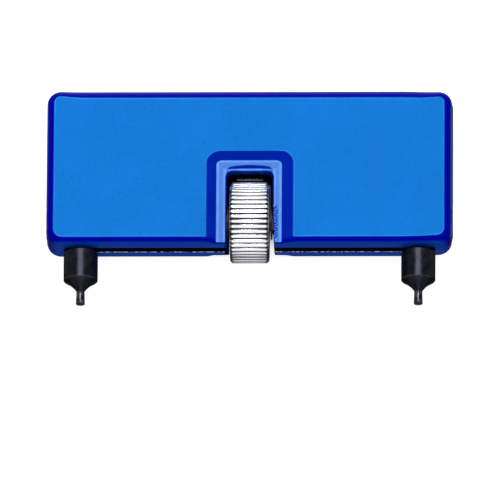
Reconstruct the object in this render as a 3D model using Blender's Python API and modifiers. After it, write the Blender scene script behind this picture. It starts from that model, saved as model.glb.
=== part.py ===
"""Two-jaw case back opener for watches, lying on its back.

A die-cast body holds two half lead screws, one cut left-handed and one right-handed.
A fluted thumbwheel in the middle turns both, and the slide nuts carry two pin jaws
together or apart along a slot in the body's edge.

+X runs to the right along the body, +Y points away from the jaws, +Z out of the front.
The origin is at the bottom centre of the box round the whole tool, jaws fully open.
"""
import math

import bmesh
import bpy
from mathutils import Matrix, Vector

MM = 0.001

# Body casting. Heights are counted from the jaw-side edge towards +Y.
BODY_LENGTH = 81.4 * MM
BODY_HEIGHT = 32.9 * MM
BODY_THICKNESS = 8.8 * MM
CORNER_RADIUS = 3.0 * MM
EDGE_FILLET = 1.5 * MM
SIDE_DRAFT = 0.15 * MM
NOTCH_WIDTH = 9.6 * MM
NOTCH_TOP = 15.7 * MM
NOTCH_CORNER = 1.4 * MM
RECESS_DEPTH = 1.0 * MM
RECESS_FLOOR_WIDTH = 13.2 * MM
RECESS_WALL_WIDTH = 2.0 * MM
RECESS_FLOOR_TOP = 18.0 * MM
RECESS_CORNER = 1.9 * MM
SLOT_WIDTH = 2.2 * MM
SLOT_LENGTH = 74.0 * MM
SLOT_END_RADIUS = 1.0 * MM

# Thumbwheel.
WHEEL_DIAMETER = 16.2 * MM
WHEEL_WIDTH = 7.8 * MM
WHEEL_RIM_CHAMFER = 0.6 * MM
FLUTE_COUNT = 49
FLUTE_DEPTH = 0.4 * MM
FLUTE_LAND_SHARE = 0.62
FLUTE_FLOOR_SHARE = 0.16
SET_SCREW_DIAMETER = 1.6 * MM
SET_SCREW_LENGTH = 3.4 * MM
SET_SCREW_OFFSET = 1.95 * MM
SET_SCREW_SOCKET = 0.9 * MM

# Drive line, all on one axis along X.
SCREW_HEIGHT = 5.8 * MM
SCREW_DIAMETER = 3.5 * MM
JOURNAL_DIAMETER = 2.4 * MM
JOURNAL_SETBACK = 0.2 * MM
BORE_DIAMETER = 6.0 * MM
PLUG_BORE_DIAMETER = 7.0 * MM
PLUG_BORE_DEPTH = 1.6 * MM
BUSH_LENGTH = 1.8 * MM
WASHER_DIAMETER = 6.8 * MM
WASHER_THICKNESS = 0.3 * MM

# Jaws.
JAW_OPEN_X = 33.75 * MM
NUT_LENGTH = 6.0 * MM
TANG_LENGTH = 4.4 * MM
TANG_DEPTH_IN_PIN = 2.4 * MM
PIN_DIAMETER = 6.75 * MM
PIN_CLEARANCE = 0.7 * MM
PIN_SHOULDER = 6.64 * MM
PIN_RIM_CHAMFER = 0.1 * MM
PIN_FLARE_END = 8.9 * MM
PIN_FLARE_BEND_OUT = 0.83 * MM
PIN_FLARE_BEND_DOWN = 0.95 * MM
PIN_NECK_RADIUS = 0.77 * MM
PIN_TIP_RADIUS = 0.86 * MM
PIN_REACH = 11.6 * MM

GAP = 0.3 * MM
OVERCUT = 1.0 * MM
MERGE = 0.000001

# How finely curves are cut into straight steps.
WHEEL_STEPS = 96
ROUND_STEPS = 32
SCREW_STEPS = 24
SMALL_STEPS = 16
FILLET_STEPS = 4
CORNER_STEPS = 6
FLARE_STEPS = 6
SOCKET_SIDES = 6
SHARP_ANGLE = math.radians(35)
EMPTY_SIZE = 5.0 * MM

# Places that follow from the sizes above.
OVERALL_HEIGHT = BODY_HEIGHT + PIN_REACH
JAW_EDGE_Y = PIN_REACH - OVERALL_HEIGHT / 2
MIDDLE_Z = WHEEL_DIAMETER / 2
AXIS = Vector((0.0, JAW_EDGE_Y + SCREW_HEIGHT, MIDDLE_Z))

ALONG_X = Matrix.Rotation(math.radians(90), 4, "Y")
ALONG_Y = Matrix.Rotation(math.radians(-90), 4, "X")
INTO_REAR = Matrix.Rotation(math.radians(180), 4, "X")

for old in list(bpy.data.objects):
    bpy.data.objects.remove(old)


def collection(name):
    """A new collection in the scene."""
    made = bpy.data.collections.new(name)
    bpy.context.scene.collection.children.link(made)
    return made


PARTS = collection("case_back_opener")
CUTTERS = collection("cutters")


def material(name, colour, roughness, metallic):
    """A Principled BSDF with one colour, roughness and metallic value."""
    made = bpy.data.materials.new(name)
    made.use_nodes = True
    shader = made.node_tree.nodes["Principled BSDF"]
    shader.inputs["Base Color"].default_value = (*colour, 1.0)
    shader.inputs["Roughness"].default_value = roughness
    shader.inputs["Metallic"].default_value = metallic
    return made


BLUE_PAINT = material("blue_paint", (0.008, 0.19, 0.69), 0.25, 0.0)
NICKEL = material("nickel_plate", (0.80, 0.80, 0.82), 0.25, 1.0)
BLACK_STEEL = material("black_oxide_steel", (0.012, 0.013, 0.018), 0.35, 1.0)
PLAIN_STEEL = material("plain_steel", (0.45, 0.45, 0.46), 0.35, 1.0)
BRONZE = material("bronze", (0.60, 0.38, 0.16), 0.35, 1.0)
DARK_STEEL = material("dark_steel", (0.06, 0.06, 0.07), 0.4, 1.0)


def add_object(name, mesh, group, place=Matrix.Identity(4), finish=None, parent=None):
    """Puts a mesh in the scene as one named object, at place under its parent."""
    made = bpy.data.objects.new(name, mesh)
    group.objects.link(made)
    made.parent = parent
    made.matrix_basis = place
    if finish:
        mesh.materials.append(finish)
    if group is CUTTERS:
        made.hide_render = True
        made.display_type = "WIRE"
    return made


def mesh_from(name, bm):
    """The finished mesh of a bmesh, shaded smooth but for its sharp edges."""
    mesh = bpy.data.meshes.new(name)
    bm.to_mesh(mesh)
    bm.free()
    mesh.shade_smooth()
    mesh.set_sharp_from_angle(angle=SHARP_ANGLE)
    return mesh


def box_bmesh(size, centre=(0.0, 0.0, 0.0)):
    """A box with its sides already at their real size."""
    bm = bmesh.new()
    bmesh.ops.create_cube(bm, size=1.0)
    bmesh.ops.scale(bm, vec=size, verts=bm.verts)
    bmesh.ops.translate(bm, vec=centre, verts=bm.verts)
    return bm


def box(name, size, centre, group):
    """A plain box object whose mesh lies at centre."""
    return add_object(name, mesh_from(name, box_bmesh(size, centre)), group)


def edges_along(bm, axis):
    """The edges that run along one axis, sloping ones among them."""
    found = []
    for edge in bm.edges:
        run = edge.verts[0].co - edge.verts[1].co
        if max(range(3), key=lambda i: abs(run[i])) == axis:
            found.append(edge)
    return found


def round_edges(bm, edges, radius, segments):
    """Rounds some edges of a bmesh."""
    bmesh.ops.bevel(
        bm, geom=edges, offset=radius, segments=segments, profile=0.5, affect="EDGES"
    )


def turned(
    name, profile, group, place, finish=None, parent=None, steps=ROUND_STEPS, closed=False
):
    """A solid of revolution about local Z. The profile holds (radius, z) pairs, top first."""
    bm = bmesh.new()
    points = [bm.verts.new((radius, 0.0, z)) for radius, z in profile]
    for upper, lower in zip(points, points[1:]):
        bm.edges.new((upper, lower))
    if closed:
        bm.edges.new((points[-1], points[0]))
    mesh = bpy.data.meshes.new(name)
    bm.to_mesh(mesh)
    bm.free()
    made = add_object(name, mesh, group, place, finish, parent)
    lathe = made.modifiers.new("lathe", "SCREW")
    lathe.angle = math.tau
    lathe.steps = steps
    lathe.render_steps = steps
    lathe.use_merge_vertices = True
    lathe.merge_threshold = MERGE
    lathe.use_smooth_shade = True
    return made


def rod_profile(radius, low, high, chamfer=0.0):
    """The profile of a plain rod with both ends chamfered."""
    if not chamfer:
        return [(0.0, high), (radius, high), (radius, low), (0.0, low)]
    return [
        (0.0, high),
        (radius - chamfer, high),
        (radius, high - chamfer),
        (radius, low + chamfer),
        (radius - chamfer, low),
        (0.0, low),
    ]


def ring_profile(outer, inner, low, high):
    """The closed profile of a ring."""
    return [(outer, high), (outer, low), (inner, low), (inner, high)]


def boolean(target, cutter, operation="DIFFERENCE"):
    """Adds one exact Boolean modifier."""
    cut = target.modifiers.new(cutter.name, "BOOLEAN")
    cut.operation = operation
    cut.solver = "EXACT"
    cut.object = cutter


def centre_at(x=0.0):
    """A placement on the screw axis at distance x from the middle."""
    return Matrix.Translation(AXIS + Vector((x, 0.0, 0.0)))


# ---- body casting ---------------------------------------------------------------


def casting_half():
    """The front half of the casting, open at the parting plane, with drafted sides."""
    half = BODY_THICKNESS / 2
    bm = box_bmesh((BODY_LENGTH, BODY_HEIGHT, half), (0.0, 0.0, half / 2))
    floor = [face for face in bm.faces if face.normal.z < -0.5]
    bmesh.ops.delete(bm, geom=floor, context="FACES_ONLY")
    for vert in bm.verts:
        if vert.co.z > half / 2:
            vert.co.x -= math.copysign(SIDE_DRAFT, vert.co.x)
            vert.co.y -= math.copysign(SIDE_DRAFT, vert.co.y)
    round_edges(bm, edges_along(bm, 2), CORNER_RADIUS, CORNER_STEPS)
    top = [face for face in bm.faces if face.normal.z > 0.99]
    rim = [edge for edge in top[0].edges]
    round_edges(bm, rim, EDGE_FILLET, FILLET_STEPS)
    return mesh_from("body_casting", bm)


def bore_cutter():
    """The stepped bore for the drive line, open at both ends of the body."""
    half = BODY_LENGTH / 2
    step = half - PLUG_BORE_DEPTH
    wide = PLUG_BORE_DIAMETER / 2
    narrow = BORE_DIAMETER / 2
    profile = [
        (0.0, half + OVERCUT),
        (wide, half + OVERCUT),
        (wide, step),
        (narrow, step),
        (narrow, -step),
        (wide, -step),
        (wide, -half - OVERCUT),
        (0.0, -half - OVERCUT),
    ]
    return turned("bore_cutter", profile, CUTTERS, centre_at() @ ALONG_X)


def slot_cutter():
    """The jaw slot, from the bore out through the jaw-side edge, with rounded ends."""
    depth = SCREW_HEIGHT + OVERCUT
    bm = box_bmesh((SLOT_LENGTH, depth, SLOT_WIDTH), (0.0, -depth / 2, 0.0))
    round_edges(bm, edges_along(bm, 1), SLOT_END_RADIUS, FILLET_STEPS)
    return add_object("slot_cutter", mesh_from("slot_cutter", bm), CUTTERS, centre_at())


def notch_cutter():
    """The window for the thumbwheel, open at the jaw-side edge."""
    height = NOTCH_TOP + OVERCUT
    middle_y = JAW_EDGE_Y - OVERCUT + height / 2
    size = (NOTCH_WIDTH, height, BODY_THICKNESS + 2 * OVERCUT)
    bm = box_bmesh(size, (0.0, middle_y, MIDDLE_Z))
    upper = [e for e in edges_along(bm, 2) if e.verts[0].co.y > middle_y]
    round_edges(bm, upper, NOTCH_CORNER, CORNER_STEPS)
    return add_object("notch_cutter", mesh_from("notch_cutter", bm), CUTTERS)


def recess_cutter(name, place):
    """One shallow recess round the notch, with sloping walls, above local Z zero."""
    slope = RECESS_WALL_WIDTH / RECESS_DEPTH
    height = RECESS_DEPTH + OVERCUT
    length = RECESS_FLOOR_TOP + OVERCUT
    bm = box_bmesh((RECESS_FLOOR_WIDTH, length, height), (0.0, length / 2 - OVERCUT, height / 2))
    for vert in bm.verts:
        if vert.co.z > height / 2:
            vert.co.x += math.copysign(slope * height, vert.co.x)
            if vert.co.y > 0.0:
                vert.co.y += slope * height
    upper = [e for e in edges_along(bm, 2) if e.verts[0].co.y > 0.0]
    round_edges(bm, upper, RECESS_CORNER, CORNER_STEPS)
    return add_object(name, mesh_from(name, bm), CUTTERS, place)


def body_casting():
    """The one-piece casting with its bore, slot, notch and two recesses."""
    middle = Matrix.Translation((0.0, JAW_EDGE_Y + BODY_HEIGHT / 2, MIDDLE_Z))
    body = add_object("body_casting", casting_half(), PARTS, middle, BLUE_PAINT)
    halves = body.modifiers.new("both_halves", "MIRROR")
    halves.use_axis = (False, False, True)
    halves.use_clip = True
    halves.merge_threshold = MERGE
    boolean(body, bore_cutter())
    boolean(body, slot_cutter())
    boolean(body, notch_cutter())
    floor_offset = BODY_THICKNESS / 2 - RECESS_DEPTH
    front = Matrix.Translation((0.0, JAW_EDGE_Y, MIDDLE_Z + floor_offset))
    rear = Matrix.Translation((0.0, JAW_EDGE_Y, MIDDLE_Z - floor_offset))
    boolean(body, recess_cutter("front_recess_cutter", front))
    boolean(body, recess_cutter("rear_recess_cutter", rear @ Matrix.Scale(-1, 4, (0, 0, 1))))


# ---- thumbwheel and drive line ----------------------------------------------------


def fluted_outline():
    """Points round the wheel: a land, a slope, a groove floor and a slope for each flute."""
    outer = WHEEL_DIAMETER / 2
    inner = outer - FLUTE_DEPTH
    pitch = math.tau / FLUTE_COUNT
    land = pitch * FLUTE_LAND_SHARE / 2
    floor = pitch * FLUTE_FLOOR_SHARE / 2
    points = []
    for flute in range(FLUTE_COUNT):
        middle = flute * pitch
        corners = (
            (outer, middle - land),
            (outer, middle),
            (outer, middle + land),
            (inner, middle + pitch / 2 - floor),
            (inner, middle + pitch / 2 + floor),
        )
        for radius, angle in corners:
            points.append((radius * math.cos(angle), radius * math.sin(angle)))
    return points


def fluted_blank():
    """The fluted bar that the wheel is cut from, as a closed mesh."""
    outline = bpy.data.curves.new("fluted_outline", "CURVE")
    outline.dimensions = "2D"
    outline.fill_mode = "BOTH"
    outline.extrude = WHEEL_WIDTH / 2
    spline = outline.splines.new("POLY")
    points = fluted_outline()
    spline.points.add(len(points) - 1)
    for point, (x, y) in zip(spline.points, points):
        point.co = (x, y, 0.0, 1.0)
    spline.use_cyclic_u = True
    guide = add_object("fluted_outline", outline, CUTTERS)
    bpy.context.view_layer.update()
    evaluated = guide.evaluated_get(bpy.context.evaluated_depsgraph_get())
    mesh = bpy.data.meshes.new_from_object(evaluated)
    bm = bmesh.new()
    bm.from_mesh(mesh)
    bmesh.ops.remove_doubles(bm, verts=bm.verts, dist=MERGE)
    bmesh.ops.recalc_face_normals(bm, faces=bm.faces)
    bpy.data.meshes.remove(mesh)
    bpy.data.objects.remove(guide)
    return mesh_from("thumbwheel", bm)


def thumbwheel(hub):
    """The fluted wheel with chamfered rims, a bore and two radial set screw holes."""
    wheel = add_object("thumbwheel", fluted_blank(), PARTS, ALONG_X, NICKEL, hub)
    radius = WHEEL_DIAMETER / 2
    half = WHEEL_WIDTH / 2
    rim = rod_profile(radius + OVERCUT, -half, half, WHEEL_RIM_CHAMFER + OVERCUT)
    place = centre_at() @ ALONG_X
    boolean(wheel, turned("wheel_rim_shape", rim, CUTTERS, place, steps=WHEEL_STEPS), "INTERSECT")
    through = rod_profile(SCREW_DIAMETER / 2 + GAP, -half - OVERCUT, half + OVERCUT)
    boolean(wheel, turned("wheel_bore_cutter", through, CUTTERS, place, steps=SCREW_STEPS))
    for side, sign in (("left", -1), ("right", 1)):
        hole = rod_profile(SET_SCREW_DIAMETER / 2 + GAP, 0.0, radius + OVERCUT)
        down = centre_at(sign * SET_SCREW_OFFSET) @ INTO_REAR
        cutter = turned(f"{side}_set_screw_hole", hole, CUTTERS, down, steps=SMALL_STEPS)
        boolean(wheel, cutter)


def set_screw(side, sign, hub):
    """A socket set screw that locks the wheel to one lead screw."""
    low = SCREW_DIAMETER / 2 + GAP
    high = low + SET_SCREW_LENGTH
    radius = SET_SCREW_DIAMETER / 2
    place = Matrix.Translation((sign * SET_SCREW_OFFSET, 0.0, 0.0)) @ INTO_REAR
    profile = rod_profile(radius, low, high, radius / 4)
    name = f"{side}_wheel_set_screw"
    screw = turned(name, profile, PARTS, place, DARK_STEEL, hub, steps=SMALL_STEPS)
    bm = bmesh.new()
    bmesh.ops.create_cone(
        bm,
        cap_ends=True,
        segments=SOCKET_SIDES,
        radius1=SET_SCREW_SOCKET / 2,
        radius2=SET_SCREW_SOCKET / 2,
        depth=2 * SET_SCREW_SOCKET,
    )
    bmesh.ops.translate(bm, vec=(0.0, 0.0, high), verts=bm.verts)
    mesh = mesh_from(f"{side}_socket_cutter", bm)
    socket = add_object(f"{side}_socket_cutter", mesh, CUTTERS, place, None, hub)
    boolean(screw, socket)


def bush_start():
    """How far from the middle the end bushes start, just past the open slide nuts."""
    return JAW_OPEN_X + NUT_LENGTH / 2 + GAP


def lead_screw(side, sign, hub):
    """Half the lead screw, from the wheel's middle to its journal in the end bush."""
    thread_end = bush_start() - GAP
    journal_end = bush_start() + BUSH_LENGTH - JOURNAL_SETBACK
    radius = SCREW_DIAMETER / 2
    journal = JOURNAL_DIAMETER / 2
    chamfer = GAP / 2
    profile = [
        (0.0, journal_end),
        (journal - chamfer, journal_end),
        (journal, journal_end - chamfer),
        (journal, thread_end),
        (radius - chamfer, thread_end),
        (radius, thread_end - chamfer),
        (radius, GAP / 2),
        (0.0, GAP / 2),
    ]
    turn = ALONG_X if sign > 0 else Matrix.Rotation(math.pi, 4, "Z") @ ALONG_X
    turned(f"{side}_lead_screw", profile, PARTS, turn, PLAIN_STEEL, hub, steps=SCREW_STEPS)


def end_pieces(side, sign):
    """The thrust washer, end bush and closing plug of one side."""
    turn = ALONG_X if sign > 0 else Matrix.Rotation(math.pi, 4, "Z") @ ALONG_X
    place = centre_at() @ turn
    gap_middle = (NOTCH_WIDTH + WHEEL_WIDTH) / 4
    washer = ring_profile(
        WASHER_DIAMETER / 2,
        SCREW_DIAMETER / 2 + GAP,
        gap_middle - WASHER_THICKNESS / 2,
        gap_middle + WASHER_THICKNESS / 2,
    )
    name = f"{side}_thrust_washer"
    turned(name, washer, PARTS, place, DARK_STEEL, closed=True)
    low = bush_start()
    bush = ring_profile(
        BORE_DIAMETER / 2 - GAP, JOURNAL_DIAMETER / 2 + GAP, low, low + BUSH_LENGTH
    )
    turned(f"{side}_end_bush", bush, PARTS, place, BRONZE, closed=True)
    plug_low = BODY_LENGTH / 2 - PLUG_BORE_DEPTH + GAP
    plug_high = BODY_LENGTH / 2
    plug = rod_profile(PLUG_BORE_DIAMETER / 2 - GAP, plug_low, plug_high)
    turned(f"{side}_end_plug", plug, PARTS, place, BLUE_PAINT)


# ---- jaws -------------------------------------------------------------------------


def slide_nut(side, slide):
    """The barrel nut in the bore, with a flat tang that reaches down into the pin."""
    half = NUT_LENGTH / 2
    barrel = rod_profile(BORE_DIAMETER / 2 - GAP, -half, half, GAP)
    name = f"{side}_slide_nut"
    nut = turned(name, barrel, PARTS, ALONG_X, PLAIN_STEEL, slide)
    reach = SCREW_HEIGHT + PIN_CLEARANCE + TANG_DEPTH_IN_PIN
    size = (TANG_LENGTH, reach, SLOT_WIDTH - 2 * GAP)
    bm = box_bmesh(size, (0.0, -reach / 2, 0.0))
    mesh = mesh_from(f"{side}_tang", bm)
    tang = add_object(f"{side}_tang", mesh, CUTTERS, Matrix.Identity(4), None, slide)
    boolean(nut, tang, "UNION")
    hole = rod_profile(SCREW_DIAMETER / 2 + GAP, -half - OVERCUT, half + OVERCUT)
    name = f"{side}_nut_hole_cutter"
    boolean(nut, turned(name, hole, CUTTERS, ALONG_X, None, slide, steps=SCREW_STEPS))


def flare_points():
    """The concave flare from the pin's shoulder to its neck, as a quadratic curve."""
    start = Vector((PIN_DIAMETER / 2 - PIN_RIM_CHAMFER, -PIN_SHOULDER))
    end = Vector((PIN_NECK_RADIUS, -PIN_FLARE_END))
    bend_radius = PIN_NECK_RADIUS + PIN_FLARE_BEND_OUT
    bend = Vector((bend_radius, -PIN_SHOULDER - PIN_FLARE_BEND_DOWN))
    points = []
    for step in range(FLARE_STEPS + 1):
        t = step / FLARE_STEPS
        point = start * (1 - t) ** 2 + bend * 2 * t * (1 - t) + end * t**2
        points.append((point.x, point.y))
    return points


def jaw_pin(side, slide):
    """A turned pin: a round shank, a concave flare and a slim tip with a flat end."""
    radius = PIN_DIAMETER / 2
    top = -PIN_CLEARANCE
    profile = [
        (0.0, top),
        (radius - PIN_RIM_CHAMFER, top),
        (radius, top - PIN_RIM_CHAMFER),
        (radius, PIN_RIM_CHAMFER - PIN_SHOULDER),
    ]
    profile += flare_points()
    profile += [(PIN_TIP_RADIUS, -PIN_REACH), (0.0, -PIN_REACH)]
    place = Matrix.Translation((0.0, -SCREW_HEIGHT, 0.0)) @ ALONG_Y
    pin = turned(f"{side}_jaw_pin", profile, PARTS, place, BLACK_STEEL, slide)
    depth = TANG_DEPTH_IN_PIN + GAP
    size = (TANG_LENGTH + 2 * GAP, depth + OVERCUT, SLOT_WIDTH)
    middle = -SCREW_HEIGHT - PIN_CLEARANCE - (depth - OVERCUT) / 2
    bm = box_bmesh(size, (0.0, middle, 0.0))
    mesh = mesh_from(f"{side}_pocket_cutter", bm)
    name = f"{side}_pocket_cutter"
    boolean(pin, add_object(name, mesh, CUTTERS, Matrix.Identity(4), None, slide))


def axis_empty(name, x):
    """An empty on the screw axis that carries the pieces of one moving body."""
    empty = bpy.data.objects.new(name, None)
    empty.empty_display_size = EMPTY_SIZE
    PARTS.objects.link(empty)
    empty.location = AXIS + Vector((x, 0.0, 0.0))
    return empty


body_casting()
wheel_hub = axis_empty("thumbwheel_axis", 0.0)
thumbwheel(wheel_hub)
for side_name, direction in (("left", -1), ("right", 1)):
    set_screw(side_name, direction, wheel_hub)
    lead_screw(side_name, direction, wheel_hub)
    end_pieces(side_name, direction)
    jaw_slide = axis_empty(f"{side_name}_jaw_slide", direction * JAW_OPEN_X)
    slide_nut(side_name, jaw_slide)
    jaw_pin(side_name, jaw_slide)
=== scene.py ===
import math

import bmesh
import bpy
import numpy as np
from mathutils import Matrix, Vector


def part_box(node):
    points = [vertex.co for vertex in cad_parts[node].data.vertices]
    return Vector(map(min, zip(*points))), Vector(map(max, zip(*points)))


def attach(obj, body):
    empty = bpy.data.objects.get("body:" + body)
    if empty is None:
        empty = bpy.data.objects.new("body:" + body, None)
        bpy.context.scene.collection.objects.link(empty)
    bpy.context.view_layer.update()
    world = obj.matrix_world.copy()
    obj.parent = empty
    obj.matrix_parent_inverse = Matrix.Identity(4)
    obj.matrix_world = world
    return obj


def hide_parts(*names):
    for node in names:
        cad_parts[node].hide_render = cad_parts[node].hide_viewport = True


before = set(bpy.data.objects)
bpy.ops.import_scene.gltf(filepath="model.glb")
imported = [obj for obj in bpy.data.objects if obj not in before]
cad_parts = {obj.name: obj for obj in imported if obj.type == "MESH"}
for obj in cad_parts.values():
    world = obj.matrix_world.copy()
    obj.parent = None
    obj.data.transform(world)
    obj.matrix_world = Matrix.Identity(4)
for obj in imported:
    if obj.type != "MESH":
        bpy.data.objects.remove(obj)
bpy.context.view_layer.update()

MM = 0.001


# ---- places read from the frame, in metres ------------------------------------------


def node_box(name):
    """A CAD node's lowest and highest corners as plain vectors."""
    low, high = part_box(name)
    return Vector(low), Vector(high)


BODY_LOW, BODY_HIGH = node_box("body_casting")
WHEEL_LOW, WHEEL_HIGH = node_box("thumbwheel")
PIN_LOW, PIN_HIGH = node_box("right_jaw_pin")
SCREW_LOW, SCREW_HIGH = node_box("right_lead_screw")
PLUG_LOW, PLUG_HIGH = node_box("right_end_plug")

AXIS = (WHEEL_LOW + WHEEL_HIGH) / 2
PARTING_Z = (BODY_LOW.z + BODY_HIGH.z) / 2
JAW_EDGE_Y = BODY_LOW.y
JAW_X = (PIN_LOW.x + PIN_HIGH.x) / 2

# ---- dimensions in millimetres --------------------------------------------------------

# The casting, from its middle, its jaw-side edge and its parting plane.
HALF_LENGTH = BODY_HIGH.x / MM
PAINT_LAYER = 0.12
HEIGHT = (BODY_HIGH.y - BODY_LOW.y) / MM + PAINT_LAYER
HALF_THICKNESS = (BODY_HIGH.z - BODY_LOW.z) / 2 / MM
AXIS_HEIGHT = (AXIS.y - JAW_EDGE_Y) / MM
CORNER_RADIUS = 3.0
FACE_FILLET = 1.7
TOP_FILLET = 2.3
JAW_FILLET = 1.42
REAR_FILLET = 0.85
LEFT_DRAFT = 0.05
RIGHT_DRAFT = 0.35

# Where one draft or fillet blends into the next: along X, and past the corners' diagonals.
DRAFT_CHANGE = (30.0, 40.0)
TOP_FILLET_CHANGE = (-1.0, 6.0)
JAW_FILLET_CHANGE = (-1.0, 3.0)

# The window for the wheel, called the notch as it is open at the jaw-side edge. On the right
# its taper to the rear fades in over the straight end.
NOTCH_HALF_WIDTH = 4.8
NOTCH_REAR_HALF_WIDTH = 3.98
NOTCH_FLARE = 0.2
NOTCH_FLARE_HEIGHT = 2.5
NOTCH_STRAIGHT_END = (4.0, 5.5)
NOTCH_TOP = 15.7
NOTCH_CORNER = 1.4
LIP_RADIUS = 0.2

# The recess round the notch. Its wall slopes up from the floor's outline.
RECESS_DEPTH = 1.0
RECESS_FLOOR_HALF_WIDTH = 6.3
RECESS_FLOOR_TOP = 17.75
RECESS_SHIFT = -0.13
RECESS_FLOOR_CORNER = 0.9
RECESS_LEFT_WALL = 2.43
RECESS_RIGHT_WALL = 2.85
RECESS_WALL_CHANGE = (5.6, 7.4)
RECESS_TOP_STRETCH = 1.2
RECESS_BLEND = 0.35
RECESS_EDGE_FILLET = 0.45
FLOOR_TILT = math.radians(4.0)
FLOOR_TILT_WIDTH = 2.3

# The shallow crescent over the notch.
SCOOP_DEPTH = 0.3
SCOOP_RAMP = 0.6
SCOOP_HALF_WIDTH = 4.5
SCOOP_END = 4.7
SCOOP_EDGE = 16.4
SCOOP_RISE = 0.5

# Ripples in the recess floor, low down beside the notch on the right.
RIPPLE = 0.06
RIPPLE_NEAR = 4.5
RIPPLE_FAR = 6.1
RIPPLE_LOW = 0.6
RIPPLE_HIGH = 10.0

# The ridge of flash along the notch's ceiling.
FLASH_OFFSET = 1.5
FLASH_HEIGHT = 0.26
FLASH_WIDTH = 0.16
FLASH_HALF_LENGTH = 3.0

# The slot for the jaws, the bore behind it and the plugs' seats.
SLOT_HALF_WIDTH = 1.1
SLOT_HALF_LENGTH = 37.0
SLOT_LIP_RADIUS = 0.14
BORE_RADIUS = 3.0
PLUG_BORE_RADIUS = 3.5
PLUG_BORE_DEPTH = 1.6
PLUG_CLEARANCE = 0.06
PLUG_EDGE = 0.15
PLUG_SINK = 0.02
PLUG_SIDES = 64

# The thumbwheel.
FLUTES = 49
FLUTE_STEPS = 12
FLUTE_DEPTH = 0.34
FLUTE_PHASE = math.radians(18.7)
FLUTE_SHARE = 0.42
RIM_CHAMFER = 0.45
RIM_CHAMFER_STEPS = 5
RIM_FLARE = 0.7
RIM_WIDENING = 0.35
WHEEL_BORE = 2.05
WHEEL_HUB = 3.2
WHEEL_WEB = 6.6
WEB_SINK = 0.15
WEB_STEP = 0.1

# A jaw pin, from the jaw-side edge down to its tip.
PIN_FULLNESS = 0.05
PIN_SHOULDER = -6.64
PIN_EDGE = 0.12
PIN_SIDES = 96
SHANK_SUPPORT = 1.2
FLARE_END = -8.9
FLARE_END_RADIUS = 0.81
FLARE_BEND = 0.95
FLARE_BEND_RADIUS = 1.6
FLARE_STEPS = 24
TIP_NECK = 1.4
TIP_NECK_RADIUS = 0.85
TIP_RADIUS = 0.90

# A half screw.
THREAD_PITCH = 0.6
THREAD_DEPTH = 0.33
THREAD_END = 36.6
THREAD_SIDES = 24
THREAD_STEPS = 8
THREAD_FLANKS = 0.8
THREAD_END_CUT = 0.2
JOURNAL_RADIUS = 1.2

# Edges of turned pieces that bend more than this stay sharp.
SHARP_ANGLE = math.radians(40)


# ---- node helpers -----------------------------------------------------------------


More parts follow.
